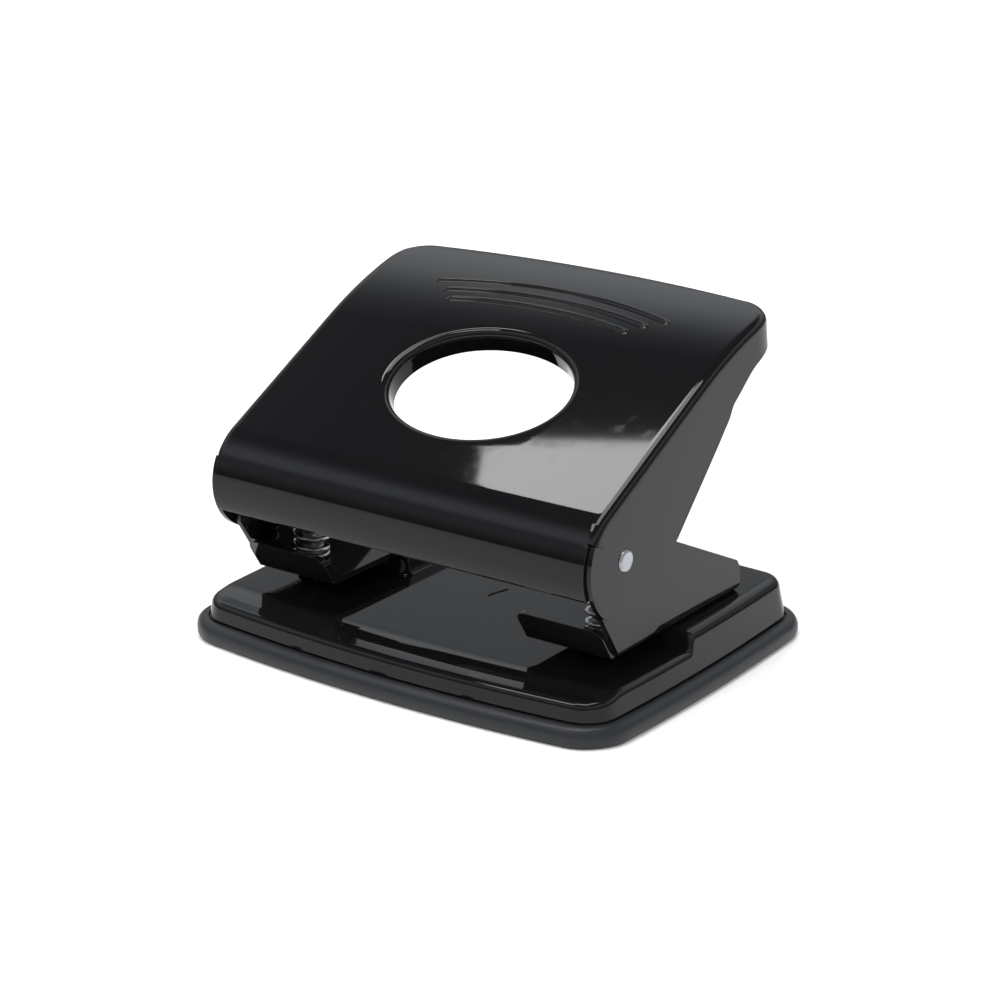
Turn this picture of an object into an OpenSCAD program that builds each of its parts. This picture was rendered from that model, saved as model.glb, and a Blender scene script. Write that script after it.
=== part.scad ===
// Two-hole desk punch: a pressed steel lever hinged on a cross axle drives two spring-returned
// pins through a sheet steel base. A moulded tray closes the base and catches the chips.
// +X is along the axle, +Y towards the free end of the lever, +Z up, sizes in millimetres.

/* [Punching] */
// Distance between the centres of the two punched holes
hole_pitch = 80; // [76:0.5:100]
// Diameter of a punched hole
hole_d = 6; // [4:0.1:7]
// Distance from the paper stop to the hole centres
edge_margin = 12; // [10:0.1:15]
// Height of the slot that takes the paper
slot_h = 3.9; // [2.5:0.1:5]
// Angle that the lever turns through in one stroke
press_angle = 35; // [28:0.5:38]
// Distance from the axle to the nose that pushes a pin
arm_r = 8.6; // [8.4:0.1:10.5]

/* [Base] */
// Depth of the whole base, front to rear
base_d = 91.7; // [74:0.1:125]
// How far the base stands out past each bracket
side_margin = 9.45; // [8:0.05:16]
// Distance from the front of the base to the paper stop
front_reach = 42.1; // [40:0.1:60]
// Corner radius of the base in plan
corner_r = 9.5; // [8:0.1:14]
// How far the sides of the base bow outwards
side_bow = 1.3; // [0.2:0.1:3]
// How far the front edge of the base bows outwards
front_bow = 3.7; // [0.5:0.1:6]
// How far the rear edge of the base bows outwards
rear_bow = 1.8; // [0.5:0.1:4]
// Height of the moulded rim round the base
rim_h = 4.7; // [3.8:0.1:5.6]
// Width of the ledge between the rim and the steel skirt
ledge_w = 3.2; // [2.8:0.1:5]
// Height of the steel bed that the paper lies on
bed_h = 9.8; // [8.6:0.1:14]
// Radius of the pressed shoulder round the bed
shoulder_r = 1.7; // [1.5:0.1:2.2]
// Thickness of the base and lever sheet
sheet_t = 1.2; // [0.9:0.05:1.4]
// Wall thickness of the moulded tray
tray_wall = 1.6; // [1.2:0.1:2.4]
// Half the gap between the two raised pads of the base
pad_inner = 22; // [17:0.5:25]

/* [Brackets] */
// Thickness of the bracket sheet
bracket_t = 1.3; // [1:0.05:1.6]
// Distance from a pin's axis to the outer face of its bracket
bracket_side = 8.7; // [8.2:0.1:11]
// Distance from a pin's axis to the inner edge of its bracket
bracket_inner = 14; // [12:0.5:15]
// Distance from a pin's axis to the front edge of the guide plate
guide_front = 8.95; // [7.6:0.05:10.5]
// Length of bracket behind the paper stop
foot_len = 28.5; // [24:0.5:36]
// Length of the lip bent up at the front of the guide plate
lip_len = 8.8; // [6.5:0.1:9]
// Angle of the front lip above the horizontal
lip_angle = 57; // [50:1:65]
// Fall of the bracket's top edge towards the rear
brace_fall = 25.3; // [22:0.1:28]
// Radius of the eye that holds the axle
eye_r = 7; // [6:0.1:7.6]
// Shank diameter of the bracket rivets
rivet_d = 4; // [3:0.1:5]

/* [Axle and pins] */
// Height of the axle's centre above the surface the punch stands on
pivot_h = 35.9; // [35.5:0.1:44]
// Diameter of the axle
axle_d = 5; // [4:0.1:5.4]
// Running clearance on the radius of every pin and of the axle
run_gap = 0.05; // [0.03:0.01:0.1]
// Radius of the nose that pushes a pin
nose_r = 2.5; // [2.2:0.1:2.9]
// Wire diameter of the return springs
wire_d = 0.85; // [0.6:0.05:0.95]
// Outside diameter of the return springs
spring_od = 8.9; // [8.6:0.1:10]
// Working turns of each return spring
spring_turns = 4; // [3:1:5]
// Thickness of the retaining clips
clip_t = 0.8; // [0.5:0.1:1]

/* [Lever] */
// Slope of the lever's flat top at rest
lever_slope = 27.3; // [25:0.1:30]
// Outside radius of the front roll about the axle
roll_r = 13.5; // [13:0.1:14.5]
// Length of the flat part of the lever's top
flat_len = 39; // [36:0.5:52]
// Length of the curved tail of the lever's top
tail_len = 36.6; // [32:0.2:46]
// Radius that the tail curves down with
tail_r = 110; // [90:1:150]
// Radius of the rounded lower end of a side flange
flange_r = 12.8; // [12.2:0.1:13]
// Plan radius of the lever's rear corners
tail_corner_r = 9.5; // [6:0.5:14]
// How far the lever's rear edge bows outwards
tail_bow = 2.5; // [0.5:0.1:5]
// Half width of the oval hole
oval_a = 22.4; // [18:0.1:24]
// Half length of the oval hole, measured along the slope
oval_b = 16.2; // [11:0.1:16.6]
// Depth of the collar turned in round the oval hole
collar_h = 5.2; // [2:0.1:6]
// Distance along the slope from the axle to the middle of the oval hole
oval_place = 27.3; // [26.5:0.1:31]
// Height of the three pressed ribs
rib_h = 0.5; // [0.3:0.1:0.9]
// Width of a pressed rib
rib_w = 1.3; // [1:0.1:2]
// Distance between the pressed ribs
rib_pitch = 3.8; // [3:0.1:4.5]

/* [Hidden] */
$fn = 64;

// Small fits
part_gap = 0.3;      // between pieces that move past each other
touch_gap = 0.05;    // between the nose and a pin's head, and under the washers
snug_gap = 0.02;     // round a pin that is held fast
tip_gap = 0.2;       // from the pads' height up to a raised pin's tip
head_gap = 1;        // left between a pressed pin's head and its guide
cut = 1;             // how far a cutting shape runs past a face
open = 200;          // longer than any piece

// Places along X
pin_x = hole_pitch / 2;
bracket_x = pin_x + bracket_side;
bracket_in_x = bracket_x - bracket_t;
guide_in_x = pin_x - bracket_inner;
flange_in_x = bracket_x + part_gap;
lever_x = flange_in_x + sheet_t;
base_x = bracket_x + side_margin - side_bow;

// Places along Y
base_front = -base_d / 2 + front_bow;
base_rear = base_d / 2 - rear_bow;
stop_y = -base_d / 2 + front_reach;
pin_y = stop_y - edge_margin;
nose_angle = press_angle / 2;
pivot_y = pin_y - arm_r * (1 + cos(nose_angle)) / 2;
lip_y = pin_y - guide_front;
foot_rear = stop_y + foot_len;

// Places along Z
skirt_z = rim_h + part_gap;
pad_h = bed_h + slot_h;
foot_top = pad_h + bracket_t;
stroke = 2 * arm_r * sin(nose_angle);
pin_top = pivot_h + arm_r * sin(nose_angle) - nose_r - touch_gap;
pin_tip = pad_h + tip_gap;
guide_top = pin_top - stroke - head_gap;
guide_low = guide_top - bracket_t;
clip_top = guide_low - part_gap;
washer_t = 0.5;
washer_top = clip_top - clip_t - touch_gap;
spring_top = washer_top - washer_t - touch_gap;

// Base pressing
skirt_lean = 0.22;   // inset of the skirt for each millimetre of height
side_steps = 6;
corner_steps = 6;
pad_corner_r = 3;
pad_step = 0.04;     // how far the side of a pad stands in from the skirt below it
mark_w = 3.5;
mark_len = 7.5;
mark_h = 0.4;

// Tray
tray_floor = 1.5;
lip_gap = 0.25;
lip_rise = 3.2;
rim_foot = 1.3;      // inset of the rim where it meets the ground
rim_top = 1.7;       // inset of the rim where it meets the ledge
rim_bulge = [[0.4, 0.5], [1.3, 0.05], [2.4, 0], [3.4, 0.25], [rim_h - 0.35, 0.9]]; // height, inset

// Pins, clips and rings
bore_r = hole_d / 2 + run_gap;
clip_r = spring_od / 2 + 0.1;
clip_mouth = 3.4;
clip_depth = 0.6;    // depth of the groove that takes the clip
pin_chamfer = 0.4;
groove_r = hole_d / 2 - clip_depth;
hollow_r = 4.5;
hollow_depth = 1.1;
ring_r = axle_d / 2 + 1.9;
ring_gap = 0.1;      // between a ring and its bracket
axle_end = 0.5;      // how far the axle stands out of the lever
axle_chamfer = 0.4;
washer_rim = 0.2;    // how far a washer stands out past the clip

// Pin guide
guide_ahead = 2.2;   // sheet left in front of the pin
guide_behind = 3.2;  // sheet left behind the pin
guide_past = 3;      // sheet left on the inner side of the pin
guide_leg = 8;       // height of the leg welded to the bracket

// Bracket
lip_out = bracket_t / sin(lip_angle);
brace_nose = 1.4;
rivet_head_r = rivet_d * 0.85;
rivet_head_h = 1.3;
rivet_tail = 0.9;    // height of the head under the base sheet
rivet_inset = 7.5;   // from the ends of the guide plate to the rivets
rivet_y = [stop_y + rivet_inset, stop_y + foot_len - rivet_inset];

// Lever
tail_angle = tail_len / tail_r * 180 / PI;
roll_end = 205 - lever_slope;   // where the roll stops, from the slope's direction
slit_start = 149 - lever_slope; // where the roll parts from the side flange
roll_x = flange_in_x - 0.45;    // half width of the roll below the slit
flange_low = -50 - lever_slope; // where the flange's round end meets its straight edge
flange_high = -260;             // where it runs in under the roll
tail_over = 3;                  // angle that the tail is drawn past the lever's rear edge
saddle_half = 5;
saddle_foot = 4;
flange_edge = [[17, -10.4], [49.5, 0.8], [61, 1.8], [flat_len + tail_len, 1.8]];
rib_r = 108;
rib_half = [31.3, 27.2, 24.2];
tail_s = flat_len + tail_r * sin(tail_angle);
tail_n = roll_r - tail_r * (1 - cos(tail_angle));
tail_y = pivot_y + tail_s * cos(lever_slope) - tail_n * sin(lever_slope);
rib_back = 13.6;     // from the lever's rear edge to the middle of the first rib

// Spring winding
wind_steps = 14;     // points in a turn
wire_sides = 6;
end_turns = 1;       // closed turn at each end

// Points of an arc, from angle a to angle b, both ends included
function arc(c, r, a, b, steps) =
    [for (i = [0:steps]) let (t = a + (b - a) * i / steps) [c[0] + r * cos(t), c[1] + r * sin(t)]];

// A list of points followed by its mirror image in X, which closes the outline
function both_sides(pts) =
    concat(pts, [for (i = [len(pts) - 1:-1:0]) if (abs(pts[i][0]) > 0.001) [-pts[i][0], pts[i][1]]]);

// Plan of the base moved in by an inset: bowed sides joined by round corners
function base_plan(inset) =
    let (hw = base_x - inset, yf = base_front + inset, yr = base_rear - inset, r = corner_r - inset,
         ds = atan(4 * side_bow / (yr - yf - 2 * r)), df = atan(2 * front_bow / (hw - r)),
         dr = atan(2 * rear_bow / (hw - r)),
         xf = hw - r * cos(ds) + r * sin(df), xr = hw - r * cos(ds) + r * sin(dr),
         ys = yf + r * cos(df) - r * sin(ds), ye = yr - r * cos(dr) + r * sin(ds),
         ym = (ys + ye) / 2, hl = (ye - ys) / 2)
    both_sides(concat(
        [for (i = [0:side_steps - 1]) let (u = i / side_steps) [xf * u, yf - front_bow * (1 - u * u)]],
        arc([xf - r * sin(df), yf + r * cos(df)], r, df - 90, -ds, corner_steps),
        [for (i = [1:side_steps - 1]) let (u = 2 * i / side_steps - 1)
            [hw + side_bow * (1 - u * u), ym + hl * u]],
        arc([xr - r * sin(dr), yr - r * cos(dr)], r, ds, 90 - dr, corner_steps),
        [for (i = [side_steps - 1:-1:0]) let (u = i / side_steps)
            [xr * u, yr + rear_bow * (1 - u * u)]]));

// Solid through a stack of [height, inset] pairs of the base plan
module stack(levels) {
    rings = [for (l = levels) [for (p = base_plan(l[1])) [p[0], p[1], l[0]]]];
    n = len(rings[0]);
    m = len(rings);
    polyhedron(
        points = [for (r = rings) each r],
        faces = concat(
            [[for (i = [0:n - 1]) i]],
            [for (k = [0:m - 2]) for (i = [0:n - 1])
                [k * n + i, (k + 1) * n + i, (k + 1) * n + (i + 1) % n, k * n + (i + 1) % n]],
            [[for (i = [n - 1:-1:0]) (m - 1) * n + i]]),
        convexity = 6);
}

// Solid inside the steel skirt up to a height, moved in by an extra inset
module skirt_solid(low, top, extra, r) {
    inset = ledge_w + extra;
    stack(concat(
        [[low, inset], [top - r, inset + skirt_lean * (top - r - skirt_z)]],
        [for (a = [30:30:90])
            [top - r + r * sin(a), inset + skirt_lean * (top - r - skirt_z) + r * (1 - cos(a))]]));
}

// Plan of one raised pad, reaching past the base at the side and the rear
module pad_plan(extra) {
    x = pad_inner + extra;
    y = stop_y + extra;
    r = pad_corner_r;
    polygon(concat(
        arc([x + r, y + r], r, 180, 270, 6),
        [[open, y], [open, open], [x, open]]));
}

// Base with its raised pads as a solid, moved in by an extra inset
module base_solid(low, extra, r) {
    skirt_solid(low, bed_h - extra, extra, r);
    for (m = [0, 1]) mirror([m, 0, 0])
        intersection() {
            skirt_solid(low, pad_h - extra, extra + pad_step, r);
            linear_extrude(open) pad_plan(extra);
        }
}

// Repeats a right-hand piece on the left when side is -1
module on_side(side) {
    mirror([side < 0 ? 1 : 0, 0, 0]) children();
}

// Solid drawn in the Y-Z plane and extruded along X from x0 to x1
module across(x0, x1) {
    translate([x0, 0, 0]) rotate([90, 0, 90]) linear_extrude(x1 - x0) children();
}

// Moves a lever piece from the axle's frame, with Y along the slope, to its place
module on_lever() {
    translate([0, pivot_y, pivot_h]) rotate([lever_slope, 0, 0]) children();
}

module base_plate() {
    color([0.03, 0.03, 0.035])
    difference() {
        union() {
            base_solid(skirt_z, 0, shoulder_r);
            translate([0, 0, bed_h - 0.2]) linear_extrude(mark_h + 0.2)
                polygon([[0, stop_y], [mark_w / 2, stop_y + mark_len],
                         [-mark_w / 2, stop_y + mark_len]]);
        }
        base_solid(skirt_z - cut, sheet_t, max(shoulder_r - sheet_t, 0.3));
        for (m = [-1, 1]) {
            translate([m * pin_x, pin_y, bed_h - sheet_t - cut])
                cylinder(r = bore_r, h = sheet_t + 2 * cut);
            for (y = rivet_y)
                translate([m * pin_x, y, pad_h - sheet_t - cut])
                    cylinder(d = rivet_d + 2 * snug_gap, h = sheet_t + 2 * cut);
        }
    }
}

module base_tray() {
    snap = ledge_w + sheet_t + lip_gap;
    color([0.13, 0.14, 0.15])
    difference() {
        union() {
            stack(concat([[0, rim_foot]], rim_bulge, [[rim_h, rim_top]]));
            stack([[tray_floor, snap], [skirt_z, snap],
                   [skirt_z + lip_rise, snap + skirt_lean * lip_rise]]);
        }
        stack([[tray_floor, snap + tray_wall], [skirt_z, snap + tray_wall],
               [skirt_z + lip_rise + cut, snap + tray_wall + skirt_lean * (lip_rise + cut)]]);
    }
}

// Side view of a bracket's upright plate
module brace_plan() {
    top_dir = 90 - brace_fall;
    front_y = pivot_y - eye_r;
    rear_z = pivot_h + (eye_r - (foot_rear - pivot_y) * sin(brace_fall)) / cos(brace_fall);
    polygon(concat(
        arc([pivot_y, pivot_h], eye_r, top_dir, 180, 12),
        [[front_y, pad_h + (lip_y + lip_out - front_y) * tan(lip_angle)], [lip_y + lip_out, pad_h],
         [foot_rear, pad_h], [foot_rear, rear_z - brace_nose],
         [foot_rear - brace_nose, rear_z + brace_nose * tan(brace_fall)]]));
}

// Front lip seen from the side
module lip_plan() {
    rise = [-cos(lip_angle), sin(lip_angle)] * lip_len;
    polygon([[lip_y, pad_h], [lip_y, pad_h] + rise, [lip_y + lip_out, pad_h] + rise,
             [lip_y + lip_out + bracket_t, foot_top], [lip_y + lip_out + bracket_t, pad_h]]);
}

module bracket(side) {
    color([0.04, 0.04, 0.045])
    on_side(side)
    difference() {
        union() {
            across(bracket_in_x, bracket_x) brace_plan();
            translate([guide_in_x, lip_y + lip_out, pad_h])
                cube([bracket_in_x - guide_in_x + 0.1, foot_rear - lip_y - lip_out, bracket_t]);
            across(guide_in_x, bracket_in_x + 0.1) lip_plan();
        }
        translate([pin_x, pin_y, pad_h - cut]) cylinder(r = bore_r, h = bracket_t + 2 * cut);
        for (y = rivet_y)
            translate([pin_x, y, pad_h - cut])
                cylinder(d = rivet_d + 2 * snug_gap, h = bracket_t + 2 * cut);
        translate([bracket_in_x - cut, pivot_y, pivot_h]) rotate([0, 90, 0])
            cylinder(d = axle_d + 2 * snug_gap, h = bracket_t + 2 * cut);
    }
}

// Angle welded inside the bracket, which guides the upper end of the pin
module pin_guide(side) {
    front = pin_y - hole_d / 2 - guide_ahead;
    rear = pin_y + hole_d / 2 + guide_behind;
    inner = pin_x - hole_d / 2 - guide_past;
    color([0.35, 0.35, 0.37])
    on_side(side)
    difference() {
        union() {
            translate([inner, front, guide_low]) cube([bracket_in_x - inner, rear - front, bracket_t]);
            translate([bracket_in_x - bracket_t, front, guide_top - guide_leg])
                cube([bracket_t, rear - front, guide_leg]);
        }
        translate([pin_x, pin_y, guide_low - cut]) cylinder(r = bore_r, h = bracket_t + 2 * cut);
    }
}

module bracket_rivets(side) {
    low = pad_h - sheet_t;
    color([0.05, 0.05, 0.05])
    on_side(side)
    for (y = rivet_y) translate([pin_x, y, 0]) {
        translate([0, 0, low - rivet_tail])
            cylinder(r1 = rivet_head_r * 0.8, r2 = rivet_head_r, h = rivet_tail);
        translate([0, 0, low]) cylinder(d = rivet_d, h = foot_top - low);
        translate([0, 0, foot_top])
            cylinder(r1 = rivet_head_r, r2 = rivet_head_r * 0.6, h = rivet_head_h);
    }
}

module pivot_axle() {
    half = lever_x + axle_end;
    color([0.75, 0.75, 0.76])
    translate([-half, pivot_y, pivot_h]) rotate([0, 90, 0])
        rotate_extrude()
            polygon([[0, 0], [axle_d / 2 - axle_chamfer, 0], [axle_d / 2, axle_chamfer],
                     [axle_d / 2, 2 * half - axle_chamfer], [axle_d / 2 - axle_chamfer, 2 * half],
                     [0, 2 * half]]);
}

module axle_ring(side) {
    color([0.3, 0.3, 0.31])
    on_side(side)
    translate([bracket_in_x - ring_gap - clip_t, pivot_y, pivot_h]) rotate([0, 90, 0])
        difference() {
            cylinder(r = ring_r, h = clip_t);
            translate([0, 0, -cut]) cylinder(r = axle_d / 2 + snug_gap, h = clip_t + 2 * cut);
        }
}

// Top line of the lever, from an angle on the roll to the tail, moved in by an inset
function top_line(inset, start) =
    concat(
        arc([0, 0], roll_r - inset, start, 90, 16),
        arc([flat_len, roll_r - tail_r], tail_r - inset, 90, 90 - tail_angle - tail_over, 12));

// Outline between two top lines, one above the other
function band(upper, lower, start) =
    let (back = top_line(lower, start))
    concat(top_line(upper, start), [for (i = [len(back) - 1:-1:0]) back[i]]);

// Plan of the lever, open at the front, moved in by an inset
module lever_plan(inset) {
    hw = lever_x - inset;
    yr = tail_y - inset;
    r = tail_corner_r - inset;
    dr = atan(2 * tail_bow / (hw - r));
    xr = hw - r + r * sin(dr);
    polygon(both_sides(concat(
        [[hw, -open]],
        arc([hw - r, yr - tail_bow - r * cos(dr)], r, 0, 90 - dr, 8),
        [for (i = [7:-1:0]) let (u = i / 8) [xr * u, yr - tail_bow * u * u]])));
}

// Side view of the flange that runs round the lever
module flange_plan() {
    seam = sheet_t / 2;
    last = flange_edge[len(flange_edge) - 1];
    polygon(concat(
        [for (i = [len(flange_edge) - 1:-1:0]) flange_edge[i]],
        arc([0, 0], flange_r, flange_low, flange_high, 24),
        arc([0, 0], roll_r - seam, 100, 90, 2),
        arc([flat_len, roll_r - tail_r], tail_r - seam, 90, 90 - tail_angle - tail_over, 12),
        [last + [6, 0]]));
}

// Ring of the oval collar, seen square to the slope
function oval(extra) =
    [for (t = [0:5:355]) [(oval_a + extra) * cos(t), oval_place + (oval_b + extra) * sin(t)]];

// Plan of one pressed rib
module rib_plan(i) {
    a = asin(rib_half[i] / rib_r);
    mid = [0, tail_y - rib_back - i * rib_pitch - rib_r];
    polygon(concat(arc(mid, rib_r + rib_w / 2, 90 - a, 90 + a, 16),
                   arc(mid, rib_r - rib_w / 2, 90 + a, 90 - a, 16)));
    for (s = [-1, 1])
        translate([s * rib_half[i], mid[1] + rib_r * cos(a)]) circle(d = rib_w);
}

module lever_shell() {
    color([0.03, 0.03, 0.035])
    difference() {
        union() {
            // top, tail and upper part of the roll
            intersection() {
                on_lever() across(-open, open) polygon(band(0, sheet_t, slit_start));
                translate([0, 0, -open / 2]) linear_extrude(open * 2) lever_plan(0);
            }
            // lower part of the roll, parted from the flanges by a slit
            on_lever() across(-roll_x, roll_x)
                polygon(concat(arc([0, 0], roll_r, slit_start - 1, roll_end, 12),
                               arc([0, 0], roll_r - sheet_t, roll_end, slit_start - 1, 12)));
            // side and rear flanges
            intersection() {
                on_lever() across(-open, open) flange_plan();
                translate([0, 0, -open / 2]) linear_extrude(open * 2)
                    difference() {
                        lever_plan(0);
                        lever_plan(sheet_t);
                    }
            }
            // collar round the oval hole
            on_lever() translate([0, 0, roll_r - collar_h])
                linear_extrude(collar_h - sheet_t / 2) polygon(oval(sheet_t));
            // three pressed ribs
            intersection() {
                on_lever() across(-open, open) polygon(band(-rib_h, sheet_t / 2, 90));
                linear_extrude(open) for (i = [0:2]) rib_plan(i);
            }
        }
        on_lever() {
            translate([0, 0, roll_r - collar_h - cut])
                linear_extrude(collar_h + 2 * cut) polygon(oval(0));
            rotate([0, 90, 0]) translate([0, 0, -open]) cylinder(r = axle_d / 2 + run_gap, h = 2 * open);
        }
    }
}

// Folded steel nose welded under the lever's top, which pushes one pin
module press_saddle(side) {
    s = arm_r * cos(nose_angle - lever_slope);
    n = arm_r * sin(nose_angle - lever_slope);
    top = roll_r - sheet_t;
    color([0.3, 0.3, 0.31])
    on_side(side)
    on_lever() across(pin_x - saddle_half, pin_x + saddle_half)
        difference() {
            union() {
                translate([s, n]) circle(r = nose_r);
                translate([s - nose_r, n]) square([2 * nose_r, top - n]);
                translate([s - nose_r - saddle_foot, top - sheet_t])
                    square([2 * (nose_r + saddle_foot), sheet_t]);
            }
            translate([s, n]) circle(r = nose_r - sheet_t);
            translate([s - nose_r + sheet_t, n]) square([2 * (nose_r - sheet_t), top - n + cut]);
        }
}

module punch_pin(side) {
    color([0.8, 0.8, 0.82])
    on_side(side)
    translate([pin_x, pin_y, 0])
    difference() {
        rotate_extrude()
            polygon([[0, pin_tip], [hole_d / 2, pin_tip], [hole_d / 2, clip_top - clip_t],
                     [groove_r, clip_top - clip_t], [groove_r, clip_top], [hole_d / 2, clip_top],
                     [hole_d / 2, pin_top - pin_chamfer], [hole_d / 2 - pin_chamfer, pin_top],
                     [0, pin_top]]);
        translate([-hole_d, 0, pin_tip + hollow_depth - hollow_r]) rotate([0, 90, 0])
            cylinder(r = hollow_r, h = 2 * hole_d);
    }
}

module pin_clip(side) {
    color([0.4, 0.4, 0.42])
    on_side(side)
    translate([pin_x, pin_y, clip_top - clip_t])
    difference() {
        cylinder(r = clip_r, h = clip_t - snug_gap);
        translate([0, 0, -cut]) cylinder(r = groove_r + snug_gap, h = clip_t + 2 * cut);
        translate([-clip_mouth / 2, -clip_r - cut, -cut])
            cube([clip_mouth, clip_r + cut, clip_t + 2 * cut]);
    }
}

module spring_washer(side) {
    color([0.6, 0.6, 0.62])
    on_side(side)
    translate([pin_x, pin_y, washer_top - washer_t])
    difference() {
        cylinder(r = clip_r + washer_rim, h = washer_t);
        translate([0, 0, -cut]) cylinder(r = hole_d / 2 + snug_gap, h = washer_t + 2 * cut);
    }
}

// Height of the wire's centre after a number of turns: a closed turn at each end
function wind_z(turn, rise, all) =
    turn < end_turns ? turn * wire_d / 2 * 1.04
    : turn > all - end_turns ? rise - (all - turn) * wire_d / 2 * 1.04
    : wire_d / 2 * 1.04 + (rise - wire_d * 1.04) * (turn - end_turns) / (all - 2 * end_turns);

module return_spring(side) {
    r = (spring_od - wire_d) / 2;
    rise = spring_top - foot_top - wire_d - 2 * snug_gap;
    all = spring_turns + 2 * end_turns;
    steps = all * wind_steps;
    rings = [for (i = [0:steps])
        let (a = 360 * i / wind_steps, z = wind_z(i / wind_steps, rise, all))
        [for (k = [0:wire_sides - 1]) let (b = 360 * k / wire_sides)
            [(r + wire_d / 2 * cos(b)) * cos(a), (r + wire_d / 2 * cos(b)) * sin(a),
             z + wire_d / 2 * sin(b)]]];
    color([0.8, 0.8, 0.82])
    on_side(side)
    translate([pin_x, pin_y, foot_top + wire_d / 2 + snug_gap])
    polyhedron(
        points = [for (ring = rings) each ring],
        faces = concat(
            [[for (k = [0:wire_sides - 1]) k]],
            [for (i = [0:steps - 1]) for (k = [0:wire_sides - 1])
                [i * wire_sides + k, (i + 1) * wire_sides + k,
                 (i + 1) * wire_sides + (k + 1) % wire_sides, i * wire_sides + (k + 1) % wire_sides]],
            [[for (k = [wire_sides - 1:-1:0]) steps * wire_sides + k]]),
        convexity = 10);
}

base_plate();
base_tray();
bracket(-1);  // left_bracket
bracket(1);  // right_bracket
pin_guide(-1);  // left_pin_guide
pin_guide(1);  // right_pin_guide
bracket_rivets(-1);  // left_bracket_rivets
bracket_rivets(1);  // right_bracket_rivets
pivot_axle();
axle_ring(-1);  // left_axle_ring
axle_ring(1);  // right_axle_ring
lever_shell();
press_saddle(-1);  // left_press_saddle
press_saddle(1);  // right_press_saddle
punch_pin(-1);  // left_punch_pin
punch_pin(1);  // right_punch_pin
pin_clip(-1);  // left_pin_clip
pin_clip(1);  // right_pin_clip
spring_washer(-1);  // left_spring_washer
spring_washer(1);  // right_spring_washer
return_spring(-1);  // left_return_spring
return_spring(1);  // right_return_spring
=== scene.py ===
"""Two-hole desk punch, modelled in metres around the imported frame.

The lever and the base are pressed from flat blanks, the tray is lofted through rings, and the small
steel parts are finished copies of the frame's own solids.
"""

from __future__ import annotations

import logging
import math
from dataclasses import dataclass, field
from enum import Enum
from typing import Callable, Sequence, Union

import bmesh
import bpy
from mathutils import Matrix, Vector


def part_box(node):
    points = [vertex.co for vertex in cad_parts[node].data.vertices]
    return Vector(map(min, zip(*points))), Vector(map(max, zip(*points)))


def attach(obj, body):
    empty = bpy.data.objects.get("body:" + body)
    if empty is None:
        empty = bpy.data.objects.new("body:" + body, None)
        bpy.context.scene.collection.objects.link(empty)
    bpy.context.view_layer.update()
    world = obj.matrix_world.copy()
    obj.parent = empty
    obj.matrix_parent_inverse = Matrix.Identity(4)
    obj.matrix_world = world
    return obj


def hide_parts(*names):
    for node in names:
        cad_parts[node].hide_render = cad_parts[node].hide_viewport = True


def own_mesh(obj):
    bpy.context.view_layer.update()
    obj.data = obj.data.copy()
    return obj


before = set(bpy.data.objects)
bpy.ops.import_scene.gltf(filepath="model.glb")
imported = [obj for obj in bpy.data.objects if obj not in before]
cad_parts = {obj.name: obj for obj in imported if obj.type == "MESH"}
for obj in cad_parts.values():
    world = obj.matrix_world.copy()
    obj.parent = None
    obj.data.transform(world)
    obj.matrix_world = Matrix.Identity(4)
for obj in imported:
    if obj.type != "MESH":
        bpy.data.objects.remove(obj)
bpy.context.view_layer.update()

MM = 0.001
LOG = logging.getLogger("punch")
Point = tuple[float, float, float]
Number = Union["Field", float]


class Slot(Enum):
    """Material slots of the record."""

    BLACK_ENAMEL = "black_enamel"
    BRACKET_ENAMEL = "bracket_enamel"
    GREY_MOULDING = "grey_moulding"
    ZINC = "zinc_steel"
    BRIGHT = "bright_steel"
    SPRING = "spring_wire"


class Body(Enum):
    """Moving bodies of the frame."""

    FRAME = "frame"
    LEVER = "lever"
    LEFT_PUNCH = "left_punch"
    RIGHT_PUNCH = "right_punch"
    TRAY = "tray"


class Side(Enum):
    """Hands of a repeated part; the value is the sign of its X."""

    LEFT = -1
    RIGHT = 1

    @property
    def word(self) -> str:
        """The side's name as the nodes write it."""
        return self.name.lower()

    @property
    def punch(self) -> Body:
        """The body of this side's punch pin."""
        return Body.LEFT_PUNCH if self is Side.LEFT else Body.RIGHT_PUNCH


# ---------------------------------------------------------------- shader nodes


class Field:
    """A shader socket that takes part in arithmetic."""

    def __init__(self, graph: Graph, socket: bpy.types.NodeSocket) -> None:
        """Wraps one output socket of a graph."""
        self.graph = graph
        self.socket = socket

    def _maths(self, operation: str, a: Number, b: Number = 0.0, c: Number = 0.0) -> Field:
        """Adds a Math node and returns its result."""
        return self.graph.node("ShaderNodeMath", {"operation": operation}, {0: a, 1: b, 2: c})

    def __add__(self, other: Number) -> Field:
        """Sum."""
        return self._maths("ADD", self, other)

    __radd__ = __add__

    def __sub__(self, other: Number) -> Field:
        """Difference."""
        return self._maths("SUBTRACT", self, other)

    def __rsub__(self, other: Number) -> Field:
        """Difference, reflected."""
        return self._maths("SUBTRACT", other, self)

    def __mul__(self, other: Number) -> Field:
        """Product."""
        return self._maths("MULTIPLY", self, other)

    __rmul__ = __mul__

    def __truediv__(self, other: Number) -> Field:
        """Quotient."""
        return self._maths("DIVIDE", self, other)

    def __pow__(self, other: Number) -> Field:
        """Power."""
        return self._maths("POWER", self, other)

    def ramp(self, low: float, high: float) -> Field:
        """Zero below low, one above high and smooth between.

        Args:
            low: Value that gives 0.
            high: Value that gives 1.

        Returns:
            The ramped field.
        """
        settings = {"interpolation_type": "SMOOTHSTEP"}
        return self.graph.node("ShaderNodeMapRange", settings, {0: self, 1: low, 2: high})


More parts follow.
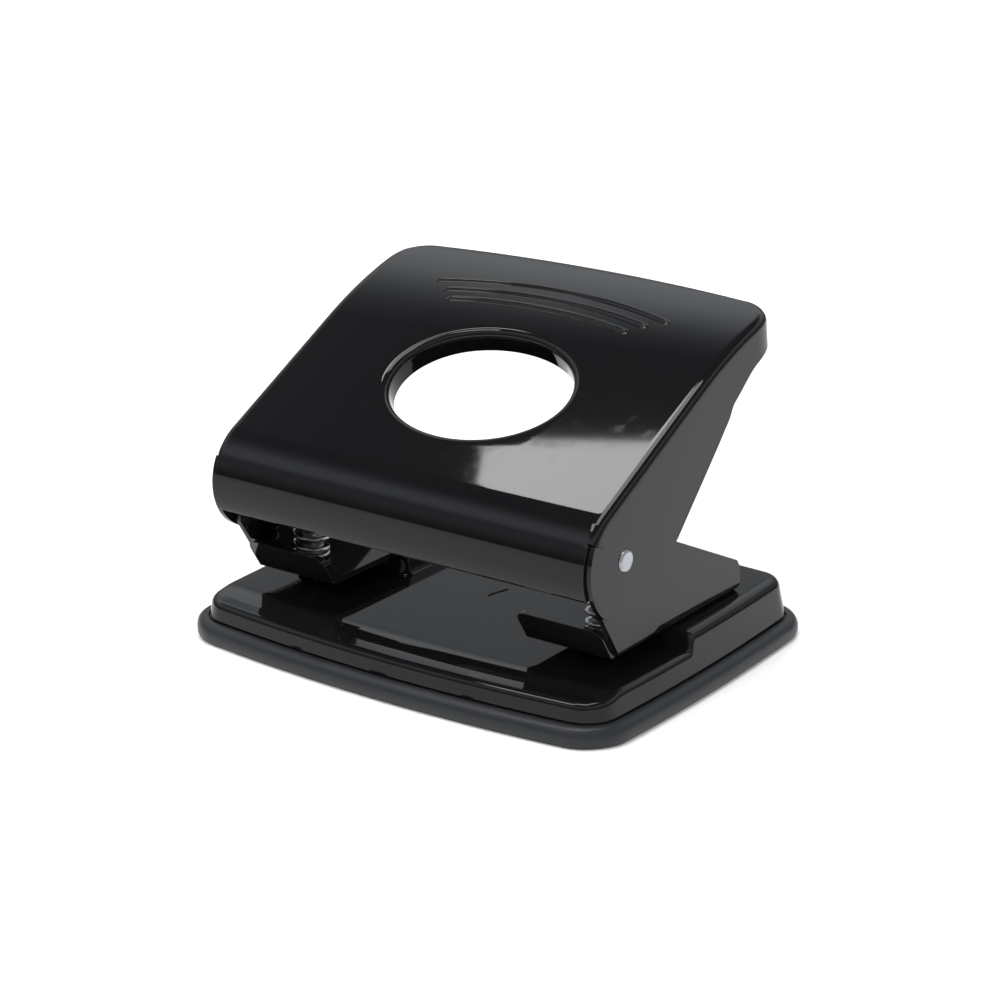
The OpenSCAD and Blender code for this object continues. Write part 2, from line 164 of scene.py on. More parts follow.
class Graph:
    """Node tree of one material, or of the world."""

    def __init__(self, name: str, owner: bpy.types.World | None = None) -> None:
        """Starts an empty tree in a new material with that name, or in its owner."""
        self.material = owner or bpy.data.materials.new(name)
        self.material.use_nodes = True
        self.tree = self.material.node_tree
        self.tree.nodes.clear()

    def node(
        self,
        kind: str,
        settings: dict[str, object] | None = None,
        inputs: dict[int | str, object] | None = None,
        output: int | str = 0,
    ) -> Field:
        """Adds any node.

        Args:
            kind: Type of the node.
            settings: Properties that are set first.
            inputs: Values or fields of its sockets.
            output: Socket that is returned.

        Returns:
            The chosen output as a field.
        """
        made = self.tree.nodes.new(kind)
        for key, value in (settings or {}).items():
            setattr(made, key, value)
        for key, value in (inputs or {}).items():
            if isinstance(value, Field):
                self.tree.links.new(value.socket, made.inputs[key])
            else:
                made.inputs[key].default_value = value
        return Field(self, made.outputs[output]) if made.outputs else Field(self, made.inputs[0])

    def place(self) -> Field:
        """Object coordinates in metres."""
        return self.node("ShaderNodeTexCoord", output="Object")

    def noise(self, scale: float, detail: float = 2.0, stretch: Point = (1.0, 1.0, 1.0)) -> Field:
        """Fractal noise on object coordinates.

        Args:
            scale: Cells in a metre.
            detail: Octaves.
            stretch: Scale of each axis, for a grain.

        Returns:
            The noise, around 0.5.
        """
        mapped = self.node("ShaderNodeMapping", {}, {"Vector": self.place(), "Scale": stretch})
        return self.node(
            "ShaderNodeTexNoise", {}, {"Vector": mapped, "Scale": scale, "Detail": detail}
        )

    def edges(self) -> Field:
        """High along edges, where the enamel thins and the steel wears."""
        rounded = self.node("ShaderNodeBevel", {"samples": 4}, {"Radius": 0.0005})
        true = self.node("ShaderNodeNewGeometry", output="Normal")
        settings = {"operation": "DOT_PRODUCT"}
        alike = self.node("ShaderNodeVectorMath", settings, {0: rounded, 1: true}, "Value")
        return (1 - alike).ramp(0.02, 0.25)

    def mix(self, amount: Number, low: Sequence[float], high: Sequence[float]) -> Field:
        """Blends two colours.

        Args:
            amount: 0 gives low and 1 gives high.
            low: First colour, linear RGB.
            high: Second colour, linear RGB.

        Returns:
            The colour.
        """
        settings = {"data_type": "RGBA"}
        values = {0: amount, 6: (*low, 1.0), 7: (*high, 1.0)}
        return self.node("ShaderNodeMix", settings, values, 2)

    def bump(self, height: Field, distance: float, strength: float = 1.0) -> Field:
        """Normal with a bump.

        Args:
            height: Height field, 0 to 1.
            distance: Height in metres of a full step.
            strength: Share of the bump that shows.

        Returns:
            The normal.
        """
        values = {"Strength": strength, "Distance": distance, "Height": height}
        return self.node("ShaderNodeBump", {}, values)

    def principled(self, **inputs: object) -> bpy.types.Material:
        """Ends the tree in a Principled shader.

        Args:
            inputs: Sockets, with underscores for the spaces in their names.

        Returns:
            The finished material.
        """
        values = {key.replace("_", " "): value for key, value in inputs.items()}
        shader = self.node("ShaderNodeBsdfPrincipled", {}, values)
        self.node("ShaderNodeOutputMaterial", {}, {"Surface": shader})
        return self.material


# ---------------------------------------------------------------- finishes


@dataclass(frozen=True)
class Enamel:
    """Black stoved enamel over steel: a mirror gloss with a faint ripple and dust."""

    name: str = "black_enamel"
    colour: Point = (0.0045, 0.0045, 0.005)
    worn: Point = (0.02, 0.02, 0.021)
    gloss: float = 0.035
    haze: float = 0.03
    ripple: float = 0.0000012
    shine: float = 0.22

    def make(self) -> bpy.types.Material:
        """Builds the material."""
        g = Graph(self.name)
        dust = g.noise(260.0, 4.0).ramp(0.52, 0.75)
        specks = g.noise(2400.0, 2.0).ramp(0.70, 0.78)
        rough = self.gloss + dust * self.haze + specks * 0.12 + g.edges() * 0.05
        wave = g.noise(95.0, 1.0) + g.noise(900.0, 1.0) * 0.06
        return g.principled(
            Base_Color=g.mix(g.edges() * 0.7, self.colour, self.worn),
            Roughness=rough,
            Normal=g.bump(wave, self.ripple),
            Specular_IOR_Level=self.shine,
            IOR=1.52,
        )


@dataclass(frozen=True)
class Moulding:
    """Dark grey satin plastic with a fine spark-eroded grain."""

    name: str = "grey_moulding"
    colour: Point = (0.010, 0.011, 0.0125)
    pale: Point = (0.024, 0.026, 0.029)
    rough: float = 0.36

    def make(self) -> bpy.types.Material:
        """Builds the material."""
        g = Graph(self.name)
        grain = g.noise(5200.0, 3.0)
        cloud = g.noise(120.0, 3.0)
        return g.principled(
            Base_Color=g.mix(g.edges() * 0.6 + cloud * 0.25, self.colour, self.pale),
            Roughness=self.rough + cloud * 0.1 - g.edges() * 0.08,
            Normal=g.bump(grain, 0.00002, 0.5),
            Specular_IOR_Level=0.35,
        )


@dataclass(frozen=True)
class Steel:
    """Bare or plated steel with a drawn or ground grain."""

    name: str
    colour: Point
    dark: Point
    rough: float
    grain: Point = (1.0, 1.0, 12.0)

    def make(self) -> bpy.types.Material:
        """Builds the material."""
        g = Graph(self.name)
        lines = g.noise(3200.0, 3.0, self.grain)
        stain = g.noise(330.0, 4.0).ramp(0.45, 0.75)
        return g.principled(
            Base_Color=g.mix(stain * 0.6 + lines * 0.25, self.colour, self.dark),
            Metallic=1.0,
            Roughness=self.rough + lines * 0.14 + stain * 0.1 - g.edges() * 0.1,
            Normal=g.bump(lines, 0.000012, 0.6),
        )


FINISHES = {
    Slot.BLACK_ENAMEL: Enamel(),
    Slot.BRACKET_ENAMEL: Enamel(
        "bracket_enamel", (0.006, 0.006, 0.0065), (0.025, 0.025, 0.026), 0.06, 0.05, 0.000006
    ),
    Slot.GREY_MOULDING: Moulding(),
    Slot.ZINC: Steel("zinc_steel", (0.42, 0.43, 0.45), (0.20, 0.20, 0.21), 0.30, (1.0, 1.0, 1.0)),
    Slot.BRIGHT: Steel("bright_steel", (0.66, 0.65, 0.64), (0.38, 0.38, 0.38), 0.16),
    Slot.SPRING: Steel("spring_wire", (0.66, 0.66, 0.67), (0.36, 0.36, 0.37), 0.14, (8.0, 8.0, 1.0)),
}


class Wardrobe:
    """Makes each finish once and hands it out."""

    def __init__(self) -> None:
        """Builds every material."""
        self.materials = {slot: finish.make() for slot, finish in FINISHES.items()}

    def dress(self, piece: bpy.types.Object, slot: Slot) -> None:
        """Gives a piece its material and its slot.

        Args:
            piece: Object to dress.
            slot: Slot that names the finish.
        """
        piece.data.materials.clear()
        piece.data.materials.append(self.materials[slot])


# ---------------------------------------------------------------- modelling helpers


def only(piece: bpy.types.Object) -> None:
    """Selects one object and makes it active."""
    bpy.ops.object.select_all(action="DESELECT")
    piece.select_set(True)
    bpy.context.view_layer.objects.active = piece


def apply(piece: bpy.types.Object, kind: str, **settings: object) -> None:
    """Adds a modifier to a piece and applies it.

    Args:
        piece: Object that takes the modifier.
        kind: Type of the modifier.
        settings: Its properties.
    """
    only(piece)
    modifier = piece.modifiers.new(kind.lower(), kind)
    for key, value in settings.items():
        setattr(modifier, key, value)
    bpy.ops.object.modifier_apply(modifier=modifier.name)


def choose(piece: bpy.types.Object, test: Callable[[bmesh.types.BMEdge], bool]) -> int:
    """Selects the edges that pass a test, in edit mode.

    Args:
        piece: Object in edit mode.
        test: Says which edges are wanted.

    Returns:
        How many edges are selected.
    """
    bpy.ops.mesh.select_mode(type="EDGE")
    bpy.ops.mesh.select_all(action="DESELECT")
    mesh = bmesh.from_edit_mesh(piece.data)
    chosen = [edge for edge in mesh.edges if test(edge)]
    for edge in chosen:
        edge.select_set(True)
    bmesh.update_edit_mesh(piece.data)
    return len(chosen)


def smooth(piece: bpy.types.Object, angle: float = 32.0) -> None:
    """Smooth shading that keeps edges sharper than an angle.

    Args:
        piece: Object to shade.
        angle: Sharpest edge that is smoothed, in degrees.
    """
    only(piece)
    bpy.ops.object.shade_smooth_by_angle(angle=math.radians(angle))


def soften(piece: bpy.types.Object, width: float, segments: int = 3, angle: float = 50.0) -> None:
    """Rounds a piece's edges, then evens its shading.

    Args:
        piece: Object to finish.
        width: Width of the rounding in millimetres.
        segments: Faces across the rounding.
        angle: Flattest edge that is rounded, in degrees.
    """
    apply(
        piece,
        "BEVEL",
        width=width * MM,
        segments=segments,
        limit_method="ANGLE",
        angle_limit=math.radians(angle),
        use_clamp_overlap=True,
    )
    smooth(piece)
    apply(piece, "WEIGHTED_NORMAL", keep_sharp=True, weight=60)


def drill(piece: bpy.types.Object, centre: Point, radius: float, length: float, axis: str) -> None:
    """Cuts a round hole through a piece.

    Args:
        piece: Object to cut.
        centre: Middle of the hole in millimetres.
        radius: Radius in millimetres.
        length: Length of the cutter in millimetres.
        axis: Axis of the hole, X or Z.
    """
    bpy.ops.object.select_all(action="DESELECT")
    turn = (0.0, math.pi / 2, 0.0) if axis == "X" else (0.0, 0.0, 0.0)
    bpy.ops.mesh.primitive_cylinder_add(
        vertices=64,
        radius=radius * MM,
        depth=length * MM,
        location=[c * MM for c in centre],
        rotation=turn,
    )
    cutter = bpy.context.object
    apply(piece, "BOOLEAN", object=cutter, operation="DIFFERENCE", solver="EXACT")
    bpy.data.objects.remove(cutter)


def cad_copy(name: str, node: str) -> bpy.types.Object:
    """Copies a node's solid, merged and with its flat faces joined, ready to be finished.

    Args:
        name: Name of the new piece.
        node: Node that is copied.

    Returns:
        The copy, with a mesh of its own.
    """
    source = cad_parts[node]
    piece = bpy.data.objects.new(name, source.data.copy())
    bpy.context.scene.collection.objects.link(piece)
    only(piece)
    bpy.ops.object.mode_set(mode="EDIT")
    bpy.ops.mesh.select_all(action="SELECT")
    bpy.ops.mesh.remove_doubles(threshold=0.002 * MM)
    bpy.ops.mesh.dissolve_limited(angle_limit=math.radians(0.5))
    bpy.ops.object.mode_set(mode="OBJECT")
    if piece.data.has_custom_normals:
        bpy.ops.mesh.customdata_custom_splitnormals_clear()
    return piece


@dataclass
class Blank:
    """A flat sheet, gridded along chosen lines, whose rims are drawn down before it is pressed."""

    name: str
    xs: list[float]
    ys: list[float]

    def cut(self) -> bpy.types.Object:
        """Makes the grid with its lines at the chosen places, in millimetres.

        Returns:
            The flat sheet.
        """
        bpy.ops.object.select_all(action="DESELECT")
        bpy.ops.mesh.primitive_grid_add(
            x_subdivisions=len(self.xs) - 1, y_subdivisions=len(self.ys) - 1, size=2.0
        )
        sheet = bpy.context.object
        sheet.name = self.name
        sheet.data.name = self.name
        for vertex in sheet.data.vertices:
            column = round((vertex.co.x + 1) / 2 * (len(self.xs) - 1))
            row = round((vertex.co.y + 1) / 2 * (len(self.ys) - 1))
            vertex.co = (self.xs[column], self.ys[row], 0.0)
        return sheet


def draw_rim(sheet: bpy.types.Object, test: Callable[[bmesh.types.BMEdge], bool], rows: int) -> None:
    """Extrudes chosen free edges straight down by whole steps.

    Args:
        sheet: Sheet to work on.
        test: Says which free edges are drawn.
        rows: Number of steps of one unit.
    """
    only(sheet)
    bpy.ops.object.mode_set(mode="EDIT")
    choose(sheet, lambda edge: edge.is_boundary and test(edge))
    for _ in range(rows):
        bpy.ops.mesh.extrude_edges_move(TRANSFORM_OT_translate={"value": (0.0, 0.0, -1.0)})
    bpy.ops.object.mode_set(mode="OBJECT")


def press(sheet: bpy.types.Object, form: Callable[[float, float, int], Vector]) -> None:
    """Moves every point of a blank to its place on the pressed part.

    Args:
        sheet: Blank whose heights count the rows of its rims.
        form: Takes x, y and the row, and gives the place in millimetres.
    """
    for vertex in sheet.data.vertices:
        x, y, z = vertex.co
        vertex.co = form(x, y, round(-z)) * MM
    sheet.data.update()


def spaced(*stops: tuple[float, float]) -> list[float]:
    """Lines between stops, each with the largest step up to the next stop.

    Args:
        stops: Pairs of place and largest step; the last step isn't used.

    Returns:
        The places, both ends included.
    """
    lines = [stops[0][0]]
    for (start, step), (end, _) in zip(stops, stops[1:]):
        count = max(1, math.ceil((end - start) / step - 1e-6))
        lines += [start + (end - start) * (i + 1) / count for i in range(count)]
    return lines


def mirrored(lines: Sequence[float]) -> list[float]:
    """Lines from 0 outwards, with their mirror images before them."""
    return [-x for x in reversed(lines) if x > 0] + list(lines)


def ease(value: float, low: float, high: float) -> float:
    """Smooth step from 0 at low to 1 at high."""
    t = min(max((value - low) / (high - low), 0.0), 1.0)
    return t * t * (3 - 2 * t)


def round_corner(x: float, y: float, cx: float, cy: float, radius: float) -> tuple[float, float]:
    """Moves a point of a square corner into the quarter circle of the same side.

    Args:
        x: Place along X.
        y: Place along Y.
        cx: Centre of the corner along X; negative on the left.
        cy: Centre of the corner along Y.
        radius: Radius of the corner, negative where the corner points to -Y.

    Returns:
        The new place; points outside the corner's square stay.
    """
    a = (abs(x) - abs(cx)) / abs(radius)
    b = (y - cy) / radius
    if a <= 0 or b <= 0:
        return x, y
    side = math.copysign(1.0, x)
    nx = abs(cx) + abs(radius) * a * math.sqrt(max(0.0, 1 - b * b / 2))
    return side * nx, cy + radius * b * math.sqrt(max(0.0, 1 - a * a / 2))


# ---------------------------------------------------------------- lever


@dataclass
class Lever:
    """Pressed lever: flat top, front roll, curved tail, side flanges and a collared oval hole."""

    half: float = 50.2
    axle: tuple[float, float] = (-24.151, 35.9)
    slope: float = 27.3
    roll: float = 13.5
    roll_angle: float = 87.7
    slit_angle: float = 31.7
    flat: float = 39.0
    tail: float = 36.6
    tail_radius: float = 110.0
    fillet: float = 1.8
    corner: float = 9.5
    bow: float = 2.5
    disc: float = 12.8
    wall: float = 1.2
    oval: tuple[float, float] = (22.4, 16.2)
    oval_place: float = 27.3
    collar: float = 5.2
    window: tuple[float, float] = (27.0, 20.0)
    rib_halves: tuple[float, float, float] = (31.3, 27.2, 24.2)
    rib_pitch: float = 3.85
    rib_height: float = 0.56
    rib_half_width: float = 0.95
    rib_radius: float = 108.0
    first_rib: float = 61.7
    axle_hole: float = 2.55
    roll_spread: float = 0.42
    fillet_rows: int = 7
    wall_steps: tuple[float, ...] = (0.03, 0.5, 0.96, 1.0)
    rear_lean: float = 0.9
    flange: list[tuple[float, float]] = field(
        default_factory=lambda: [
            (2.81, 25.99), (17.0, 23.9), (39.0, 16.32), (51.0, 12.1), (63.0, 9.3), (75.6, 6.2)
        ]
    )

    def __post_init__(self) -> None:
        """Works out the blank's main lines."""
        self.edge = self.half - self.fillet
        self.end = self.flat + self.tail - self.fillet
        self.slit = -self.roll * math.radians(self.slit_angle)
        self.start = -self.roll * math.radians(self.roll_angle)
        self.radius = self.corner - self.fillet
        self.low = self.flange[0][0]

    def columns(self) -> list[float]:
        """Lines along X: close together at the ends of the ribs and at the corners."""
        stops: list[tuple[float, float]] = [(0.0, 1.5)]
        for half in sorted(self.rib_halves):
            if half < self.window[0] < half + 1.2:
                stops += [(half - 1.5, 0.3), (self.window[0], 0.3), (half + 1.2, 1.2)]
            else:
                stops += [(half - 1.5, 0.3), (half + 1.2, 1.2)]
        stops = [s for s in stops if s[0] <= 33] + [(self.edge - self.radius, 0.7), (self.edge, 1)]
        lines = spaced(*stops)
        near = min(range(len(lines)), key=lambda i: abs(lines[i] - self.window[0]))
        lines[near] = self.window[0]
        return mirrored(lines)

    def rows(self) -> list[float]:
        """Lines along the slope: fine on the roll and across the ribs."""
        front = self.oval_place - self.window[1]
        rear = self.oval_place + self.window[1]
        first = self.first_rib - 2 * self.rib_pitch - 1.2
        stops = [
            (self.start, 0.5), (self.slit, 0.3), (self.low, 1.0), (front, 1.3), (rear, 0.8),
            (first, 0.16), (self.first_rib + 1.2, 1.0), (self.end - self.radius, 0.7), (self.end, 1),
        ]
        return spaced(*stops)

    def in_window(self, x: float, s: float) -> bool:
        """Whether a point of the flat blank is on or inside the frame of the oval hole."""
        return (
            abs(x) <= self.window[0] + 0.01 and abs(s - self.oval_place) <= self.window[1] + 0.01
        )

    def depth(self, s: float) -> float:
        """Depth of the side flange under the top, at a place along the slope."""
        for (s0, d0), (s1, d1) in zip(self.flange, self.flange[1:]):
            if s <= s1:
                return d0 + (d1 - d0) * (s - s0) / (s1 - s0)
        return self.flange[-1][1]

    def rib(self, x: float, t: float) -> float:
        """Height of the ribs at a place, where t is measured along lines parallel to them."""
        rise = 0.0
        for index, half in enumerate(self.rib_halves):
            across = abs(t - self.first_rib + index * self.rib_pitch)
            past = max(0.0, abs(x) - half + self.rib_half_width)
            off = math.hypot(across, past) / self.rib_half_width
            if off < 1:
                rise += self.rib_height * (0.5 + 0.5 * math.cos(math.pi * off)) ** 0.8
        return rise

    def bend(self, x: float, s: float) -> float:
        """Moves a line of the blank so that it runs along the ribs, and bows the rear edge."""
        reach = 24.7 + 7.1 * ease(s, 53.0, 63.0)
        along = min(abs(x), reach) ** 2 / (2 * self.rib_radius)
        ribs = along * ease(s, 44.5, 52.6) * (1 - ease(s, 63.5, 70.0))
        rear = self.bow * min(abs(x) / (self.half - self.corner), 1.0) ** 2
        return s - ribs - rear * ease(s, 60.0, 72.0)

    def on_top(self, x: float, s: float, depth: float) -> Vector:
        """Place of a point of the bent sheet.

        Args:
            x: Place along the axle.
            s: Length along the top's line, from above the axle.
            depth: Depth under the outer face.

        Returns:
            The place in millimetres.
        """
        if s < 0:
            angle = s / self.roll
            y, z = (self.roll - depth) * math.sin(angle), (self.roll - depth) * math.cos(angle)
        elif s <= self.flat:
            y, z = s, self.roll - depth
        else:
            angle = (s - self.flat) / self.tail_radius
            y = self.flat + (self.tail_radius - depth) * math.sin(angle)
            z = self.roll - self.tail_radius + (self.tail_radius - depth) * math.cos(angle)
        return self.turned(x, y, z)

    def turned(self, x: float, y: float, z: float) -> Vector:
        """Turns a point about the axle by the lever's slope."""
        c, s = math.cos(math.radians(self.slope)), math.sin(math.radians(self.slope))
        return Vector((x, self.axle[0] + y * c - z * s, self.axle[1] + y * s + z * c))

    def collar_point(self, x: float, s: float, row: int) -> Vector:
        """Place on the collar of the oval hole, from a point of its frame."""
        angle = math.atan2(s - self.oval_place, x)
        reach = math.hypot(x, s - self.oval_place)
        blend_rows = 3
        turn = min(max(row - blend_rows, 0) / self.fillet_rows, 1.0) * math.pi / 2
        out = self.fillet * (1 - math.sin(turn))
        a, b = self.oval[0] + out, self.oval[1] + out
        rim = a * b / math.hypot(b * math.cos(angle), a * math.sin(angle))
        share = min(row / blend_rows, 1.0)
        reach += (rim - reach) * share
        depth = self.fillet * (1 - math.cos(turn))
        past = max(0, row - blend_rows - self.fillet_rows)
        depth += past * (self.collar - self.fillet) / 2
        return self.on_top(
            reach * math.cos(angle), self.oval_place + reach * math.sin(angle), depth
        )

    def form(self, x: float, s: float, row: int) -> Vector:
        """Place on the pressed lever of a point of the blank."""
        if row == 0:
            nx, ns = round_corner(
                x, s, self.edge - self.radius, self.end - self.radius, self.radius
            )
            bent = self.bend(nx, ns)
            if s < self.slit - 0.01 and abs(x) > self.edge - 0.01:
                nx += math.copysign(self.roll_spread, x)
            return self.on_top(nx, bent, -self.rib(nx, ns))
        if self.in_window(x, s):
            return self.collar_point(x, s, row)
        cx, cs = self.edge - self.radius, self.end - self.radius
        nx, ns = round_corner(x, s, cx, cs, self.radius)
        side = math.copysign(1.0, nx)
        out = Vector((side, 0.0)) if ns <= cs else Vector((0.0, 1.0))
        if ns > cs and abs(nx) > cx:
            out = Vector((nx - side * cx, ns - cs)).normalized()
        turn = min(row / self.fillet_rows, 1.0) * math.pi / 2
        reach = self.fillet * math.sin(turn)
        drop = self.fillet * (1 - math.cos(turn))
        px, ps = nx + out.x * reach, self.bend(nx, ns) + out.y * reach
        past = row - self.fillet_rows
        share = self.wall_steps[past - 1] if past > 0 else 0.0
        if share and ns < self.low:
            top = self.on_top(px, ps, drop)
            u = (s - self.slit) / (self.low - self.slit)
            first = math.radians(90 + self.slit_angle + 1.5)
            last = math.radians(360 - 77.3)
            angle = first + (last - first) * u
            low = self.turned(px, self.disc * math.cos(angle), self.disc * math.sin(angle))
            return top.lerp(low, share)
        drop += share * (self.depth(ns) - self.fillet)
        ps -= share * self.rear_lean * max(0.0, out.y)
        return self.on_top(px, ps, drop)

    def build(self, wardrobe: Wardrobe) -> bpy.types.Object:
        """Presses, thickens, rounds and dresses the lever."""
        sheet = Blank("lever_cover", self.columns(), self.rows()).cut()
        only(sheet)
        bpy.ops.object.mode_set(mode="EDIT")
        bpy.ops.mesh.select_mode(type="FACE")
        bpy.ops.mesh.select_all(action="DESELECT")
        mesh = bmesh.from_edit_mesh(sheet.data)
        for face in mesh.faces:
            middle = face.calc_center_median()
            face.select_set(self.in_window(middle.x, middle.y))
        bmesh.update_edit_mesh(sheet.data)
        bpy.ops.mesh.delete(type="FACE")
        bpy.ops.object.mode_set(mode="OBJECT")

        def on_hole(edge: bmesh.types.BMEdge) -> bool:
            """Edges of the oval hole's frame."""
            return all(self.in_window(v.co.x, v.co.y) for v in edge.verts)

        def on_rim(edge: bmesh.types.BMEdge) -> bool:
            """Edges of the sides and the rear, behind the slits."""
            inner = any(self.in_window(v.co.x, v.co.y) for v in edge.verts)
            behind = all(v.co.y > self.slit - 0.01 for v in edge.verts)
            return behind and not inner and all(v.co.z > -0.5 for v in edge.verts)

        draw_rim(sheet, on_rim, self.fillet_rows + len(self.wall_steps))
        draw_rim(sheet, on_hole, 3 + self.fillet_rows + 2)
        press(sheet, self.form)
        apply(sheet, "SOLIDIFY", thickness=self.wall * MM, offset=-1.0)
        soften(sheet, 0.22, 2, 60.0)
        drill(sheet, (0.0, *self.axle), self.axle_hole, 2.2 * self.half, "X")
        smooth(sheet, 48.0)
        apply(sheet, "WEIGHTED_NORMAL", keep_sharp=True, weight=60)
        wardrobe.dress(sheet, Slot.BLACK_ENAMEL)
        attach(sheet, Body.LEVER.value)
        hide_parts("lever_shell")
        return sheet


# ---------------------------------------------------------------- base


@dataclass
class BaseOutline:
    """Plan of the base: bowed sides joined by round corners, in millimetres."""

    half: float = 56.85
    front: float = -42.15
    rear: float = 44.05
    corner: float = 9.5
    bows: Point = (1.3, 3.7, 1.8)

    def bowed(self, x: float, y: float) -> tuple[float, float]:
        """Moves a point of the straight-sided plan outwards to the bowed one.

        Args:
            x: Place along X.
            y: Place along Y.

        Returns:
            The place on the bowed plan.
        """
        side, front, rear = self.bows
        cross = max(0.0, 1 - (x / (self.half - 3)) ** 2)
        along = max(0.0, 1 - ((y - 1) / (self.rear - 5)) ** 2)
        ny = y - front * cross * ease(-y, 8.0, 36.0) + rear * cross * ease(y, 24.0, 40.0)
        return x + math.copysign(side * along * ease(abs(x), 36.0, 50.0), x), ny

    def ring(self, inset: float, per_corner: int = 12, per_side: int = 28) -> list[tuple[float, float]]:
        """Closed outline moved in by an inset.

        Args:
            inset: Distance that the outline moves in.
            per_corner: Steps in a corner.
            per_side: Steps in a side.

        Returns:
            Points in order, anticlockwise.
        """
        hw, yf, yr = self.half - inset, self.front + inset, self.rear - inset
        radius = self.corner - inset
        centres = [
            (hw - radius, yf + radius, -90), (hw - radius, yr - radius, 0),
            (radius - hw, yr - radius, 90), (radius - hw, yf + radius, 180),
        ]
        points: list[tuple[float, float]] = []
        for index, (cx, cy, start) in enumerate(centres):
            for step in range(per_corner + 1):
                angle = math.radians(start + 90 * step / per_corner)
                points.append((cx + radius * math.cos(angle), cy + radius * math.sin(angle)))
            nx, ny, turn = centres[(index + 1) % 4]
            first = math.radians(turn)
            goal = (nx + radius * math.cos(first), ny + radius * math.sin(first))
            last = points[-1]
            for step in range(1, per_side):
                share = step / per_side
                points.append(
                    (last[0] + (goal[0] - last[0]) * share, last[1] + (goal[1] - last[1]) * share)
                )
        return [self.bowed(*point) for point in points]


@dataclass
class BasePlate:
    """Pressed steel base with a low bed and two raised pads."""

    outline: BaseOutline = field(default_factory=BaseOutline)
    wall: float = 1.2
    bed: float = 9.8
    pad: float = 13.7
    skirt_foot: float = 5.0
    ledge: float = 3.2
    lean: float = 0.22
    shoulders: tuple[float, float] = (1.7, 2.7)
    stop: float = -3.75
    pad_inner: float = 22.0
    pad_corner: float = 3.0
    riser: float = 2.0
    mark: Point = (3.5, 7.5, 0.4)
    dies: tuple[float, float, float] = (40.0, -15.75, 3.05)
    brow: float = -28.5
    brow_fall: float = 0.2
    shoulder_rows: int = 7

    def __post_init__(self) -> None:
        """Works out the flat blank from the pads' height."""
        self.inset = self.ledge + self.lean * self.rise(self.pad) + self.shoulder(self.pad)
        self.radius = self.outline.corner - self.inset
        self.half = self.outline.half - self.inset
        self.front = self.outline.front + self.inset
        self.rear = self.outline.rear - self.inset

    def shoulder(self, top: float) -> float:
        """Radius of the shoulder round a top face of that height."""
        share = min(max((top - self.bed) / (self.pad - self.bed), 0.0), 1.0)
        return self.shoulders[0] + (self.shoulders[1] - self.shoulders[0]) * share

    def rise(self, top: float) -> float:
        """Height of the leaning part of the skirt under a top face."""
        return top - self.shoulder(top) - self.skirt_foot

    def columns(self) -> list[float]:
        """Lines along X: fine at the middle mark, at the pads' risers and at the corners."""
        edge = self.pad_inner
        return mirrored(
            spaced(
                (0.0, 0.22), (2.4, 1.5), (edge - 0.6, 0.18), (edge + self.riser + 0.4, 0.5),
                (edge + self.pad_corner + 2, 2.0), (self.half - self.radius, 0.6), (self.half, 1),
            )
        )

    def rows(self) -> list[float]:
        """Lines along Y: fine at the paper stop, the middle mark and the corners."""
        return spaced(
            (self.front, 0.6), (self.front + self.radius, 1.5), (self.stop - 0.6, 0.18),
            (self.stop + self.riser + 0.4, 0.25), (self.stop + self.mark[1] + 0.8, 2.0),
            (self.rear - self.radius, 0.6), (self.rear, 1),
        )

    def height(self, x: float, y: float) -> float:
        """Height of the upper face over a place in plan."""
        dx, dy = abs(x) - self.pad_inner, y - self.stop
        r = self.pad_corner
        inside = min(dx, dy) if dx > r or dy > r else r - math.hypot(r - dx, r - dy)
        pad = ease(inside, 0.0, self.riser)
        ahead = max(0.0, self.brow - y)
        crown = self.brow_fall * ahead**2 / (ahead + 2.5)
        width, length, lift = self.mark
        wedge = min(dy, length - dy, (width / 2 * dy / length - abs(x)) * 1.0)
        mark = lift * ease(wedge, 0.0, 0.5) if 0 <= dy <= length else 0.0
        return self.bed + (self.pad - self.bed) * pad + (mark - crown) * (1 - pad)

    def form(self, x: float, y: float, row: int) -> Vector:
        """Place on the pressed base of a point of the blank."""
        cx = self.half - self.radius
        ends = ((self.front + self.radius, -1.0), (self.rear - self.radius, 1.0))
        cy, way = ends[0] if y < 0 else ends[1]
        nx, ny = round_corner(x, y, cx, cy, self.radius * way)
        top = self.height(nx, ny)
        side = math.copysign(1.0, nx)
        beyond = (ny - cy) * way > 0
        out = Vector((0.0, way)) if beyond else Vector((side, 0.0))
        if beyond and abs(nx) > cx:
            out = Vector((nx - side * cx, ny - cy)).normalized()
        rim = abs(x) > self.half - 0.01 or y < self.front + 0.01 or y > self.rear - 0.01
        full = self.ledge + self.lean * self.rise(top) + self.shoulder(top)
        reach = self.inset - full if rim else 0.0
        turn = min(row / self.shoulder_rows, 1.0) * math.pi / 2
        reach += self.shoulder(top) * math.sin(turn)
        z = top - self.shoulder(top) * (1 - math.cos(turn))
        if row > self.shoulder_rows:
            reach += self.lean * self.rise(top)
            z = self.skirt_foot
        bx, by = self.outline.bowed(nx + out.x * reach, ny + out.y * reach)
        return Vector((bx, by, z))

    def build(self, wardrobe: Wardrobe) -> bpy.types.Object:
        """Presses, thickens, drills and dresses the base."""
        sheet = Blank("base_pressing", self.columns(), self.rows()).cut()
        draw_rim(sheet, lambda edge: True, self.shoulder_rows + 1)
        press(sheet, self.form)
        apply(sheet, "SOLIDIFY", thickness=self.wall * MM, offset=-1.0, use_even_offset=True)
        soften(sheet, 0.2, 2, 60.0)
        x, y, radius = self.dies
        for side in Side:
            drill(sheet, (side.value * x, y, self.bed), radius, 3 * self.wall, "Z")
        smooth(sheet, 40.0)
        apply(sheet, "WEIGHTED_NORMAL", keep_sharp=True, weight=60)
        wardrobe.dress(sheet, Slot.BLACK_ENAMEL)
        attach(sheet, Body.FRAME.value)
        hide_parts("base_plate")
        return sheet


